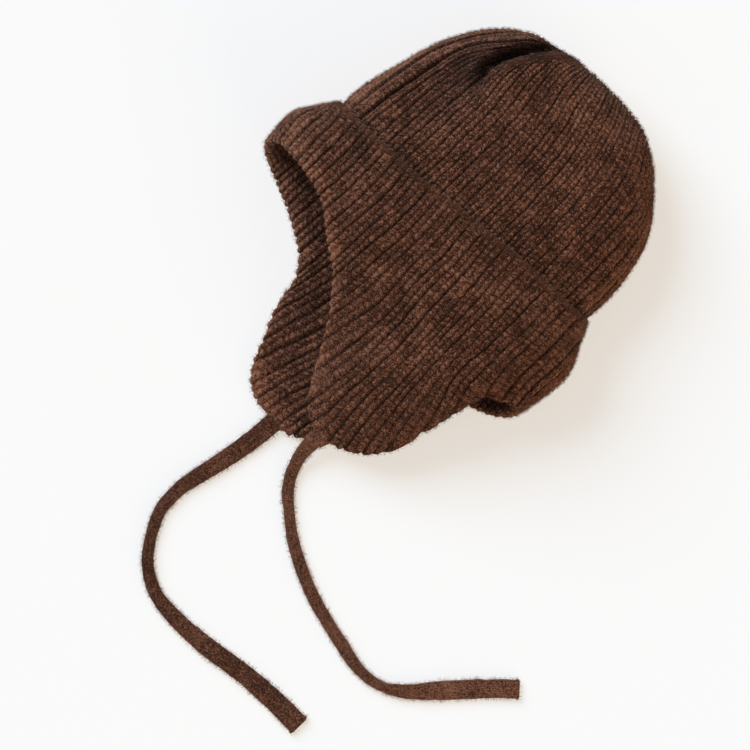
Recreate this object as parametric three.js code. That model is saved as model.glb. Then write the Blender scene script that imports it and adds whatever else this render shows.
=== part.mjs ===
// A rib-knit baby bonnet lying on its side: a beanie crown, a wide doubled band with two ear flaps knitted in one
// with it, and a flat knitted tie on each flap tip. Millimetres, +Z up from the surface it lies on, +Y towards the
// crown's top, +X towards the nape. The origin is under the middle of the bonnet without its ties.
import * as THREE from "three";

// Driving sizes
const ribCount = 60;
const crownWall = 3;
const crownGroove = 1.2;
const bandTopWall = 3;
const bandWall = 5.5;
const bandGroove = 1.3;
const bandInnerGroove = 0.7;
const tieThickness = 3;
const crownFoldHeight = 22;
const crownRise = 27.8;
const bandFoldHeight = 24;
const creaseDepth = 9;
const grooveDepth = 3.5;
const dentDepth = 5;

// How finely each piece is faceted
const columns = ribCount * 2;
const crownRows = 16;
const crownInnerRows = 5;
const bandRows = 9;
const bandInnerRows = 6;
const tieSteps = 30;

// Crown, seen from above: the rib on the forehead fold and the rib on the nape fold, from the hidden lower edge
// (share 0) to the closing line at the top (share 1).
const frontFold = table(["share", "x", "y"], [
  [0, -75, 8.5],
  [0.08, -77.5, 21],
  [0.2, -76.5, 36],
  [0.33, -73, 51],
  [0.46, -69.5, 66.5],
  [0.58, -65, 79.5],
  [0.69, -56, 94],
  [0.79, -45, 105],
  [0.88, -33, 112.3],
  [1, -14, 116.4],
]);
const backFold = table(["share", "x", "y"], [
  [0, 80, 16.5],
  [0.15, 83, 28.5],
  [0.35, 84, 41],
  [0.55, 83, 55.5],
  [0.75, 80, 70],
  [0.88, 75, 81.5],
  [1, 69, 89.5],
]);

// Crown: where each rib meets the closing line along the top of the outline.
const closingLine = table(["rib", "x", "y"], [
  [0, -14, 116.4],
  [6, -11, 116.8],
  [12, -7, 117.2],
  [15, 8, 118.4],
  [18, 24, 118],
  [21, 38.5, 115],
  [24, 51.5, 107.8],
  [27, 61.5, 98.6],
  [30, 69, 89.5],
]);

// Crown: the crease where the dome folds over the front, from its lower end to its upper end.
const crease = table(["share", "x", "y", "depth"], [
  [0, -45, 66, 0],
  [0.2, -42, 76, 0.35],
  [0.4, -38, 86, 0.8],
  [0.6, -31.5, 96, 1],
  [0.8, -23.5, 105.5, 1],
  [0.92, -16, 112, 0.6],
  [1, -10, 116, 0.1],
]);

// Crown: the groove between the raised front ribs and the dent behind them.
const groove = table(["share", "x", "y", "depth"], [
  [0, -73, 25, 0.7],
  [0.2, -70.5, 41, 0.9],
  [0.4, -66.5, 58, 1],
  [0.6, -60, 75, 1],
  [0.8, -48, 97, 0.8],
  [1, -33, 110, 0],
]);

// Band: its upper edge, which stands proud of the crown.
const stepEdge = table(["x", "y"], [
  [-80, 19.5],
  [-54, 19.5],
  [-32, 20.2],
  [-9, 22.2],
  [13, 25],
  [37, 27.6],
  [63, 28.4],
  [85, 28.6],
]);

// Band: the folded rim of the upper layer, rib by rib from the forehead fold round the ear flap to the nape fold.
const nearRim = table(["rib", "x", "y", "z"], [
  [0, -92, -15.5, 24],
  [1, -90.5, -16.3, 29],
  [2, -86, -16.8, 34],
  [4, -76, -18, 41],
  [6, -63, -20, 44],
  [8, -50, -24.5, 44],
  [10, -37, -34, 42.5],
  [12, -23, -44.5, 39],
  [14, -11, -56.5, 34],
  [16, 0, -74, 26],
  [18, 14, -95.5, 16],
  [19, 22, -103.2, 12.8],
  [20, 31, -105, 11.8],
  [21, 39, -104, 11.8],
  [22, 47, -101, 12.8],
  [23, 55, -94, 15],
  [24, 61, -83, 18.5],
  [25, 64.5, -68, 23],
  [26, 65.8, -51, 28],
  [27, 72, -37.5, 31],
  [28, 80, -32, 31],
  [29, 87, -28.5, 29],
  [30, 90.5, -25.5, 24],
]);

// Band: the rim of the lower layer, counted the same way, which lies on the surface.
const farRim = table(["rib", "x", "y", "z"], [
  [0, -92, -15.5, 24],
  [1, -92, -20, 17],
  [2, -90, -24, 10],
  [3, -85, -28, 5.5],
  [4, -79, -31, 3.4],
  [6, -65, -36.5, 2.75],
  [8, -52, -43.5, 2.75],
  [10, -40, -52.5, 2.75],
  [11, -34.5, -61.5, 2.75],
  [12, -31, -74.5, 2.75],
  [13, -24, -91, 2.75],
  [14, -16, -107, 2.75],
  [15, -8, -114.5, 2.75],
  [16, 0, -117, 2.75],
  [18, 16, -116.5, 2.75],
  [19, 22.5, -113.5, 2.75],
  [20, 29, -107, 2.75],
  [22, 41, -91, 2.75],
  [24, 53, -69.5, 2.75],
  [26, 61, -50.5, 2.75],
  [27, 69, -42, 3.6],
  [28, 78, -38.5, 6.5],
  [29, 86, -33, 13],
  [30, 90.5, -25.5, 24],
]);

// Ties: centre lines from the flap tip to the free end, with the tie's width.
const nearTie = table(["x", "y", "z", "width"], [
  [30.3, -105.2, 11.4, 8.4],
  [29.6, -112, 8.8, 7.6],
  [31.2, -122.7, 4.2, 6.6],
  [37.4, -135.6, 1.8, 6.2],
  [48, -145.3, 1.6, 5.8],
  [59.4, -153.8, 1.6, 6.2],
  [72.1, -160.4, 1.6, 6.4],
  [85.3, -165.8, 1.6, 6.6],
  [99.1, -169.7, 1.6, 6.6],
  [113, -172.8, 1.6, 6.8],
  [127.1, -175.4, 1.6, 5.9],
  [141.3, -173.5, 1.6, 5.2],
  [153, -165.5, 1.6, 7.6],
  [162.8, -155, 1.6, 9.6],
  [172.4, -144.5, 1.6, 9.8],
  [182.3, -134.1, 1.6, 9.6],
  [190.1, -126.8, 1.6, 9.8],
]);
const farTie = table(["x", "y", "z", "width"], [
  [9.3, -117.7, 2.3, 10.2],
  [7.6, -133.8, 1.6, 9.8],
  [5.3, -147.9, 1.6, 9],
  [2.3, -161.8, 1.6, 8.4],
  [-0.4, -176, 1.6, 7.4],
  [0.7, -190, 1.6, 6.4],
  [7.1, -203, 1.6, 6.2],
  [16.1, -214, 1.6, 6.2],
  [28.7, -220.8, 1.6, 7],
  [42.9, -222.5, 1.6, 8.2],
  [57.1, -222.1, 1.6, 9.2],
  [71.3, -220.5, 1.6, 9.8],
  [85.4, -218.3, 1.6, 10],
  [99.7, -217, 1.6, 10.4],
  [113.9, -216.6, 1.6, 10.8],
  [124.6, -216.9, 1.6, 11.4],
]);

function table(names, rows) {
  return rows.map((row) => Object.fromEntries(names.map((name, i) => [name, row[i]])));
}

// Smooth value of a column at a place in a table's first column.
function read(rows, key, column, at) {
  let i = 1;
  while (i < rows.length - 1 && rows[i][key] < at) i++;
  const slope = (k) => {
    const a = rows[Math.max(k - 1, 0)];
    const b = rows[Math.min(k + 1, rows.length - 1)];
    return (b[column] - a[column]) / (b[key] - a[key]);
  };
  const [from, to] = [rows[i - 1], rows[i]];
  const span = to[key] - from[key];
  const t = Math.min(1, Math.max(0, (at - from[key]) / span));
  const [t2, t3] = [t * t, t * t * t];
  return (2 * t3 - 3 * t2 + 1) * from[column] + (t3 - 2 * t2 + t) * span * slope(i - 1)
    + (3 * t2 - 2 * t3) * to[column] + (t3 - t2) * span * slope(i);
}

const mix = (a, b, t) => a + (b - a) * t;
const smooth = (a, b, t) => {
  const s = Math.min(1, Math.max(0, (t - a) / (b - a)));
  return s * s * (3 - 2 * s);
};

// Half of a flattened hoop, as shares of its width and of its height, stepped evenly along its length.
function halfHoop(power, halfWidth, height, samples = 400) {
  const points = [];
  let length = 0;
  for (let i = 0; i <= samples; i++) {
    const angle = (Math.PI * i) / samples;
    const c = Math.cos(angle);
    const across = -Math.sign(c) * Math.pow(Math.abs(c), 2 / power);
    const up = Math.pow(Math.abs(Math.sin(angle)), 2 / power);
    if (i) {
      const last = points[i - 1];
      length += Math.hypot((across - last.across) * halfWidth, (up - last.up) * height);
    }
    points.push({ length, across, up });
  }
  return (share) => {
    const want = share * length;
    let i = 1;
    while (i < samples && points[i].length < want) i++;
    const [a, b] = [points[i - 1], points[i]];
    const t = (want - a.length) / (b.length - a.length);
    return { across: (mix(a.across, b.across, t) + 1) / 2, up: mix(a.up, b.up, t) };
  };
}
const upperHoop = halfHoop(2.5, 80, 28);
const lowerHoop = halfHoop(3.6, 80, 23);

// The crown's height shrinks to nothing at its closing line; rows are stepped evenly along that profile.
const closing = (share) => Math.sqrt(Math.max(0, 1 - Math.pow(share, 5)));
const crownSteps = (() => {
  const steps = [{ length: 0, share: 0 }];
  for (let i = 1; i <= 400; i++) {
    const share = 1 - Math.pow(1 - i / 400, 2);
    const last = steps[i - 1];
    const length = last.length + Math.hypot((share - last.share) * 105, (closing(share) - closing(last.share)) * 26);
    steps.push({ length, share });
  }
  return steps;
})();
function crownShare(row) {
  const want = row * crownSteps.at(-1).length;
  let i = 1;
  while (i < 400 && crownSteps[i].length < want) i++;
  const [a, b] = [crownSteps[i - 1], crownSteps[i]];
  return mix(a.share, b.share, Math.min(1, (want - a.length) / (b.length - a.length)));
}

// Signed distance from a line in a table, seen from above, and how far along it the nearest place is.
function beside(rows, x, y) {
  let best = { distance: Infinity, depth: 0 };
  for (let i = 1; i < rows.length; i++) {
    const [a, b] = [rows[i - 1], rows[i]];
    const [dx, dy] = [b.x - a.x, b.y - a.y];
    const t = Math.min(1, Math.max(0, ((x - a.x) * dx + (y - a.y) * dy) / (dx * dx + dy * dy)));
    const [ox, oy] = [x - a.x - t * dx, y - a.y - t * dy];
    const distance = Math.hypot(ox, oy);
    if (distance < Math.abs(best.distance)) {
      best = { distance: distance * (dx * oy - dy * ox > 0 ? -1 : 1), depth: mix(a.depth, b.depth, t) };
    }
  }
  return best;
}

// How far the crown's upper side sinks at a place: a steep wall under the crease that fades towards the front, a
// narrow groove, and a broad shallow dent between them.
function sink(x, y) {
  const fold = beside(crease, x, y);
  const ahead = -fold.distance;
  const wall = ahead > 0 ? smooth(0, 3, ahead) * (1 - smooth(4, 15, ahead)) : 0;
  const slit = beside(groove, x, y);
  const dent = Math.exp(-(((x + 51) / 15) ** 2) - ((y - 58) / 30) ** 2);
  return creaseDepth * fold.depth * wall
    + grooveDepth * slit.depth * Math.exp(-((slit.distance / 3) ** 2))
    + dentDepth * dent;
}

// A place on the crown's outer side. rib runs round the bonnet, 0 on the forehead fold and 30 on the nape fold, with
// the upper side between; row runs from the lower edge, 0, to the closing line, 1.
function crownSkin(rib, row) {
  rib = ((rib % ribCount) + ribCount) % ribCount;
  const upper = rib <= 30;
  const near = upper ? rib : ribCount - rib;
  const hoop = (upper ? upperHoop : lowerHoop)(near / 30);
  const share = crownShare(row);
  const front = { x: read(frontFold, "share", "x", share), y: read(frontFold, "share", "y", share) };
  const back = { x: read(backFold, "share", "x", share), y: read(backFold, "share", "y", share) };
  const [first, last] = [closingLine[0], closingLine.at(-1)];
  const x = mix(front.x, back.x, hoop.across)
    + share * (read(closingLine, "rib", "x", near) - mix(first.x, last.x, hoop.across));
  const y = mix(front.y, back.y, hoop.across)
    + share * (read(closingLine, "rib", "y", near) - mix(first.y, last.y, hoop.across));
  const lift = closing(share) * hoop.up;
  let z;
  if (upper) z = crownFoldHeight + crownRise * lift - sink(x, y) * smooth(0, 0.12, share) * Math.min(1, lift * 1.6);
  else z = Math.max(crownFoldHeight - lift * mix(crownFoldHeight - 4.5, crownFoldHeight + 1, smooth(0.1, 0.34, share)), 0);
  return new THREE.Vector3(x, y, z);
}

// A place on the middle of the band's wall. way runs from the upper edge, 0, to the folded rim, 1.
const chord = (a, b) => a.distanceTo(b);
function bandPath(rib) {
  rib = ((rib % ribCount) + ribCount) % ribCount;
  const upper = rib <= 30;
  const near = upper ? rib : ribCount - rib;
  const hoop = (upper ? upperHoop : lowerHoop)(near / 30);
  const rim = upper ? nearRim : farRim;
  const topX = mix(-80, 84.4, hoop.across);
  const top = new THREE.Vector3(topX, read(stepEdge, "x", "y", topX),
    upper ? 23 + 28.9 * hoop.up : Math.max(1.5, 23 - 22.3 * hoop.up));
  const middle = new THREE.Vector3(mix(-92, 92, hoop.across), mix(-6, -3, hoop.across),
    upper ? bandFoldHeight + 28.4 * hoop.up : Math.max(bandWall / 2, bandFoldHeight - 22 * hoop.up));
  const end = new THREE.Vector3(...["x", "y", "z"].map((c) => read(rim, "rib", c, near)));
  return { points: [top, middle, end], lengths: [chord(top, middle), chord(middle, end)] };
}
function bandMiddle(rib, way) {
  const { points: [a, b, c], lengths: [first, second] } = bandPath(rib);
  const at = way * (first + second);
  const slope = b.clone().sub(a).multiplyScalar(second / first)
    .add(c.clone().sub(b).multiplyScalar(first / second)).divideScalar(first + second);
  const early = at < first;
  const [from, to, span] = early ? [a, b, first] : [b, c, second];
  const t = (early ? at : at - first) / span;
  const straight = to.clone().sub(from).divideScalar(span);
  const [leave, arrive] = early ? [straight.clone().multiplyScalar(1.5).addScaledVector(slope, -0.5), slope]
    : [slope, straight.clone().multiplyScalar(1.5).addScaledVector(slope, -0.5)];
  const [t2, t3] = [t * t, t * t * t];
  return from.clone().multiplyScalar(2 * t3 - 3 * t2 + 1)
    .addScaledVector(leave, (t3 - 2 * t2 + t) * span)
    .addScaledVector(to, 3 * t2 - 2 * t3)
    .addScaledVector(arrive, (t3 - t2) * span);
}
const bandLength = (rib) => bandPath(rib).lengths.reduce((a, b) => a + b);

// The direction square to a surface, from two small steps on it.
function square(surface, rib, row, turn) {
  const [low, high] = [Math.max(0, row - 0.004), Math.min(1, row + 0.004)];
  const round = surface(rib + 0.25, row).sub(surface(rib - 0.25, row));
  const along = surface(rib, high).sub(surface(rib, low));
  return round.cross(along).multiplyScalar(turn).normalize();
}
const valley = (rib) => 0.5 - 0.5 * Math.cos(2 * Math.PI * rib);

// Crown: the outer side with its ribs, and the inner side one wall further in.
function crownOutward(rib, row) {
  if (row > 0.999) {
    const near = rib <= 30 ? rib : ribCount - rib;
    const [a, b] = [Math.max(0, near - 0.5), Math.min(30, near + 0.5)];
    const dx = read(closingLine, "rib", "x", b) - read(closingLine, "rib", "x", a);
    const dy = read(closingLine, "rib", "y", b) - read(closingLine, "rib", "y", a);
    return new THREE.Vector3(-dy, dx, 0).normalize();
  }
  return square(crownSkin, rib, row, 1);
}
function crownOuter(rib, row) {
  const place = crownSkin(rib, row);
  const seated = place.z < 0.01;
  const depth = seated ? 0 : crownGroove * (1 - 0.7 * smooth(0.9, 1, row)) * valley(rib);
  return place.addScaledVector(crownOutward(rib, row), -depth);
}
function crownInner(rib, row) {
  return crownSkin(rib, row).addScaledVector(crownOutward(rib, row), -crownWall);
}

// Band: half its thickness a given distance below the upper edge, rounded off at that edge and at the rim.
function bandHalf(distance, length) {
  const [topRadius, rimRadius] = [bandTopWall / 2, bandWall / 2];
  let half = mix(topRadius, rimRadius, smooth(13, 26, distance));
  if (distance < topRadius) half = Math.sqrt(topRadius ** 2 - (topRadius - distance) ** 2);
  const left = length - distance;
  if (left < rimRadius) half = Math.min(half, Math.sqrt(Math.max(0, rimRadius ** 2 - (rimRadius - left) ** 2)));
  return half;
}
function bandSide(rib, distance, side) {
  const length = bandLength(rib);
  const way = distance / length;
  const outward = square(bandMiddle, rib, way, -1);
  const place = bandMiddle(rib, way).addScaledVector(outward, side * bandHalf(distance, length));
  const [rimRadius, left] = [bandWall / 2, length - distance];
  const onRim = left < rimRadius ? 1 - left / rimRadius : 0;
  const along = bandMiddle(rib, Math.min(1, way + 0.004)).sub(bandMiddle(rib, Math.min(1, way + 0.004) - 0.008)).normalize();
  const level = Math.sqrt(1 - onRim * onRim);
  const seated = side > 0 && place.z < 0.4;
  if (seated) place.z = 0;
  const depth = valley(rib) * (side > 0 ? mix(bandGroove, bandInnerGroove, onRim) : bandInnerGroove)
    * smooth(0.5, 6, distance) * (seated ? 0 : 1);
  place.addScaledVector(outward, -side * depth * level).addScaledVector(along, -depth * onRim);
  place.z = Math.max(0, place.z);
  return place;
}

// A closed solid from rows of vertices round the bonnet: outer rows one way and inner rows back.
function shell(rows, last) {
  const positions = [];
  const index = rows.map((row) => row.map((place) => positions.push(place.x, place.y, place.z) / 3 - 1));
  if (last) last(index);
  const faces = [];
  const tri = (a, b, c) => {
    if (a !== b && b !== c && c !== a) faces.push(a, b, c);
  };
  for (let r = 0; r < index.length; r++) {
    const [here, next] = [index[r], index[(r + 1) % index.length]];
    if (here.skip) continue;
    for (let c = 0; c < here.length; c++) {
      const d = (c + 1) % here.length;
      if ((c + r) % 2) {
        tri(here[c], here[d], next[d]);
        tri(here[c], next[d], next[c]);
      } else {
        tri(here[c], here[d], next[c]);
        tri(here[d], next[d], next[c]);
      }
    }
  }
  const geometry = new THREE.BufferGeometry();
  geometry.setAttribute("position", new THREE.Float32BufferAttribute(positions, 3));
  geometry.setIndex(faces);
  return geometry;
}
const ring = (make) => Array.from({ length: columns }, (_, i) => make((i * ribCount) / columns));

function crown() {
  const outer = Array.from({ length: crownRows + 1 }, (_, i) => ring((rib) => crownOuter(rib, i / crownRows)));
  const inner = Array.from({ length: crownInnerRows + 1 }, (_, i) =>
    ring((rib) => crownInner(rib, 1 - i / crownInnerRows)));
  // On the closing line the upper and lower sides share their vertices.
  const join = (index) => {
    for (const row of [crownRows, crownRows + 1]) {
      for (let c = columns / 2 + 1; c < columns; c++) index[row][c] = index[row][columns - c];
    }
    index[crownRows].skip = true;
  };
  return shell([...outer, ...inner], join);
}

function band() {
  const [topRadius, rimRadius] = [bandTopWall / 2, bandWall / 2];
  const at = (count) => [
    () => topRadius * 0.4,
    ...Array.from({ length: count + 1 }, (_, i) => (length) =>
      mix(topRadius * 1.6, length - rimRadius, Math.pow(i / count, 1.0))),
    (length) => length - rimRadius * 0.3,
  ];
  const edge = ring((rib) => bandSide(rib, 0, 1));
  const outer = at(bandRows).map((distance) => ring((rib) => bandSide(rib, distance(bandLength(rib)), 1)));
  const rim = ring((rib) => bandSide(rib, bandLength(rib), 1));
  const inner = at(bandInnerRows).reverse().map((distance) =>
    ring((rib) => bandSide(rib, distance(bandLength(rib)), -1)));
  const geometry = shell([edge, ...outer, rim, ...inner]);
  const index = geometry.getIndex().array;
  for (let i = 0; i < index.length; i += 3) [index[i], index[i + 1]] = [index[i + 1], index[i]];
  return geometry;
}

// A flat tie lofted along its centre line, wider at both ends.
function tie(rows) {
  const path = new THREE.CatmullRomCurve3(rows.map((row) => new THREE.Vector3(row.x, row.y, row.z)), false, "centripetal");
  const sides = 8;
  const rings = [];
  for (let i = 0; i <= tieSteps; i++) {
    const t = i / tieSteps;
    const place = path.getPoint(t);
    const ahead = path.getTangent(t);
    const across = new THREE.Vector3(ahead.y, -ahead.x, 0).normalize();
    const up = across.clone().cross(ahead).normalize();
    const at = t * (rows.length - 1);
    const width = mix(rows[Math.floor(at)].width, rows[Math.min(rows.length - 1, Math.floor(at) + 1)].width, at % 1);
    rings.push(Array.from({ length: sides }, (_, k) => {
      const angle = (2 * Math.PI * (k + 0.5)) / sides;
      return place.clone().addScaledVector(across, (Math.sign(Math.cos(angle)) * Math.abs(Math.cos(angle)) ** 0.5 * width) / 2)
        .addScaledVector(up, (Math.sign(Math.sin(angle)) * Math.abs(Math.sin(angle)) ** 0.8 * tieThickness) / 2);
    }));
  }
  const positions = rings.flat().flatMap((place) => [place.x, place.y, Math.max(0, place.z)]);
  const faces = [];
  for (let i = 0; i < tieSteps; i++) {
    for (let k = 0; k < sides; k++) {
      const [a, b] = [i * sides + k, i * sides + ((k + 1) % sides)];
      faces.push(a, a + sides, b, b, a + sides, b + sides);
    }
  }
  for (let k = 1; k < sides - 1; k++) {
    faces.push(0, k, k + 1);
    const end = tieSteps * sides;
    faces.push(end, end + k + 1, end + k);
  }
  const geometry = new THREE.BufferGeometry();
  geometry.setAttribute("position", new THREE.Float32BufferAttribute(positions, 3));
  geometry.setIndex(faces);
  return geometry;
}

const wool = () => new THREE.MeshStandardMaterial({ color: 0x5c3b2f, roughness: 0.95, metalness: 0 });
const bonnet = new THREE.Group();
for (const [name, geometry] of [
  ["crown", crown()],
  ["band", band()],
  ["tie_near", tie(nearTie)],
  ["tie_far", tie(farTie)],
]) {
  const mesh = new THREE.Mesh(geometry, wool());
  mesh.name = name;
  bonnet.add(mesh);
}

export default bonnet;
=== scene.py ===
import math

import bpy
import numpy as np
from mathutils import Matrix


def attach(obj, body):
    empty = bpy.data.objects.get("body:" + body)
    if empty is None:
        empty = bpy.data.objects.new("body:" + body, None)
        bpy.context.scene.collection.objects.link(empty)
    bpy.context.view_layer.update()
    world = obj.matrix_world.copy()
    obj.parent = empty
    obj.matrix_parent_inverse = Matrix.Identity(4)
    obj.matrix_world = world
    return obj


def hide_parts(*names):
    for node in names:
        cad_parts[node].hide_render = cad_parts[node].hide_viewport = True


# Knitted baby bonnet lying on its side. Tables and shapes are in millimetres in the frame of the CAD model:
# +X towards the nape, +Y towards the crown's top, +Z up. Meshes are written in metres.
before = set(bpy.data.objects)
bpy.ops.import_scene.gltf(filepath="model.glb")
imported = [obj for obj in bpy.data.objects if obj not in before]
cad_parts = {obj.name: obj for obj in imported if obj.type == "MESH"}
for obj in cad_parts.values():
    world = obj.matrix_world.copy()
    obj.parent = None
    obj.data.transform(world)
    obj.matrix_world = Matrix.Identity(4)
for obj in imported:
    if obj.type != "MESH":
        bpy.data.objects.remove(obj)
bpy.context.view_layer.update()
scene = bpy.context.scene
metre = 0.001
ribCount = 60


def smooth(low, high, value):
    t = np.clip((value - low) / (high - low), 0, 1)
    return t * t * (3 - 2 * t)


def mix(a, b, t):
    return a + (b - a) * t


# Smooth values of a table's columns at places in its first column: cubic pieces whose slope at a row is that
# between the rows beside it.
def readRows(rows, at):
    rows = np.asarray(rows, float)
    key, columns = rows[:, 0], rows[:, 1:]
    before = np.maximum(np.arange(len(key)) - 1, 0)
    after = np.minimum(np.arange(len(key)) + 1, len(key) - 1)
    slope = (columns[after] - columns[before]) / (key[after] - key[before])[:, None]
    i = np.clip(np.searchsorted(key, at), 1, len(key) - 1)
    span = (key[i] - key[i - 1])[..., None]
    t = np.clip((at - key[i - 1]) / span[..., 0], 0, 1)[..., None]
    return ((2 * t ** 3 - 3 * t ** 2 + 1) * columns[i - 1] + (t ** 3 - 2 * t ** 2 + t) * span * slope[i - 1]
            + (3 * t ** 2 - 2 * t ** 3) * columns[i] + (t ** 3 - t ** 2) * span * slope[i])


# Half of a flattened hoop as shares of its width and height, stepped evenly along its length.
def halfHoop(power, halfWidth, height):
    angle = np.linspace(0, np.pi, 401)
    across = -np.sign(np.cos(angle)) * np.abs(np.cos(angle)) ** (2 / power)
    up = np.abs(np.sin(angle)) ** (2 / power)
    steps = np.hypot(np.diff(across) * halfWidth, np.diff(up) * height)
    length = np.concatenate([[0], np.cumsum(steps)])
    return lambda share: (np.interp(share, length / length[-1], across) / 2 + 0.5,
                          np.interp(share, length / length[-1], up))


upperHoop = halfHoop(2.5, 80, 28)
lowerHoop = halfHoop(3.6, 80, 23)


# For a rib counted round the bonnet: whether it is on the upper side, its count from the forehead, and its
# place on the hoop.
def roundHoop(rib):
    rib = np.mod(rib, ribCount)
    upper = rib <= ribCount / 2
    near = np.where(upper, rib, ribCount - rib)
    (acrossUp, up), (acrossLow, low) = upperHoop(near * 2 / ribCount), lowerHoop(near * 2 / ribCount)
    return upper, near, np.where(upper, acrossUp, acrossLow), np.where(upper, up, low)


# Smooth random field: random heights on a lattice, blended with smooth steps along the three axes. Each field
# has its own seed and spacing.
def softField(places, spacing, seed):
    size = 24
    lattice = np.random.default_rng(seed).uniform(-1, 1, (size, size, size))
    at = places / spacing
    cell = np.floor(at).astype(int)
    t = at - cell
    t = t * t * (3 - 2 * t)
    total = 0
    for i in (0, 1):
        for j in (0, 1):
            for k in (0, 1):
                share = (np.abs(1 - i - t[..., 0]) * np.abs(1 - j - t[..., 1]) * np.abs(1 - k - t[..., 2]))
                total = total + share * lattice[(cell[..., 0] + i) % size, (cell[..., 1] + j) % size,
                                                (cell[..., 2] + k) % size]
    return total


# The knit gives a little everywhere: a slow wander of every place, less near the surface it lies on.
wander = {"slow": (26, 0.9), "quick": (9, 0.35)}


# Stitches drift a little along each rib, and the yarn is thicker and thinner by turns.
yarn = {"ribShift": 0.16, "drift": 0.35, "driftSpacing": 11, "lumps": ((3.1, 0.16), (1.5, 0.15))}


def drifted(stitch, rib, places):
    draw = np.random.default_rng(3).uniform(-1, 1, 128)[np.round(rib).astype(int) % 128]
    return stitch + yarn["ribShift"] * draw + yarn["drift"] * softField(places, yarn["driftSpacing"], 31)


def lumps(places):
    return sum(most * softField(places, spacing, 41 + i) for i, (spacing, most) in enumerate(yarn["lumps"]))


def wandered(places):
    shift = np.zeros_like(places)
    for name, seed in (("slow", 11), ("quick", 21)):
        spacing, most = wander[name]
        for axis in range(3):
            shift[..., axis] += most * softField(places, spacing, seed + axis)
    shift[..., 2] *= smooth(0, 8, places[..., 2])
    moved = places + shift
    moved[..., 2] = np.maximum(moved[..., 2], 0)
    return moved


# Relief of the knit above its middle, in shares of a rib's height. A rib is one column of stitches round a
# whole number. It has two rounded legs with a dip between them, and a deep groove halfway to the next rib. A
# leg is a chain of beads, one a stitch, that slant a little away from the middle. Grooves run deeper and
# shallower by turns.
knitRelief = {
    "slant": 0.3, "groove": 0.85, "dip": 0.5, "leg": 0.5, "uneven": 0.8, "patchy": 0.85, "patchLength": 7,
    "beadPower": 2.2, "beadMiddle": 0.6, "grooveBroad": 0.15, "groovePower": 7, "dipWidth": 0.24,
    "legPower": 0.8,
}


def knitHeight(rib, stitch, slant):
    form = knitRelief
    toGroove = np.abs(np.mod(rib + 0.5, 1) - 0.5) * 2
    leg = stitch + slant * toGroove
    inLeg = np.mod(leg, 1)
    bead = 1 - np.abs(2 * inLeg - 1) ** form["beadPower"]
    draw = np.random.default_rng(7).uniform(-1, 1, (128, 128))
    own = draw[np.floor(2 * rib + 1).astype(int) % 128, np.floor(leg).astype(int) % 128]
    along = stitch / form["patchLength"]
    first = np.floor(along).astype(int)
    blend = along - first
    blend = blend * blend * (3 - 2 * blend)
    patch, dipPatch = (mix(draw[number % 128, first % 128], draw[number % 128, (first + 1) % 128], blend)
                       for number in (np.floor(rib).astype(int), np.round(rib).astype(int) + 64))
    full = np.sin(np.pi * np.clip(toGroove, 0.05, 0.95)) ** form["legPower"]
    broad = form["grooveBroad"]
    deep = broad * toGroove ** 2 + (1 - broad) * toGroove ** form["groovePower"]
    return (-form["groove"] * deep * (1 + form["patchy"] * patch)
            - form["dip"] * np.exp(-(toGroove / form["dipWidth"]) ** 2) * (1 + 0.6 * dipPatch)
            + form["leg"] * (bead - form["beadMiddle"]) * full * (1 + form["uneven"] * own))


# Length along a row of places.
def arcLength(row):
    return np.concatenate([[0], np.cumsum(np.linalg.norm(np.diff(row, axis=0), axis=1))])


# Places on a row's own count, fine, for rib numbers, near. Each traced groove stands where the row crosses
# its track, and the ribs between two grooves share the length between them evenly, none of them narrower than
# least.
def alongTracks(near, fine, row, trackRibs, tracks, least=0.35):
    knots = np.concatenate([fine[:1], trackRibs, fine[-1:]])
    arc = arcLength(row)
    lines = readRows(tracks, np.clip(row[:, 1], tracks[0][0], tracks[-1][0]))
    past = row[:, :1] > lines
    at = np.where(past.any(axis=0), np.argmax(past, axis=0), len(fine) - 1)
    gap = np.concatenate([[0], np.cumsum(np.diff(knots))]) * min(least, 0.3 * arc[-1] / knots[-1])
    stops = np.concatenate([[0], arc[at], arc[-1:]]) - gap
    stops = np.minimum(np.maximum.accumulate(stops), stops[-1]) + gap
    return np.interp(np.interp(near, knots, stops), arc, fine)


# The direction square to a grid of places, from the differences between neighbours both ways.
def squareTo(places, wrap):
    if wrap:
        padded = np.concatenate([places[:, -1:], places, places[:, :1]], 1)
        roundWay = padded[:, 2:] - padded[:, :-2]
    else:
        roundWay = np.gradient(places, axis=1)
    along = np.gradient(places, axis=0)
    normal = np.cross(roundWay, along)
    return normal / np.maximum(np.linalg.norm(normal, axis=-1, keepdims=True), 1e-9)


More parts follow.
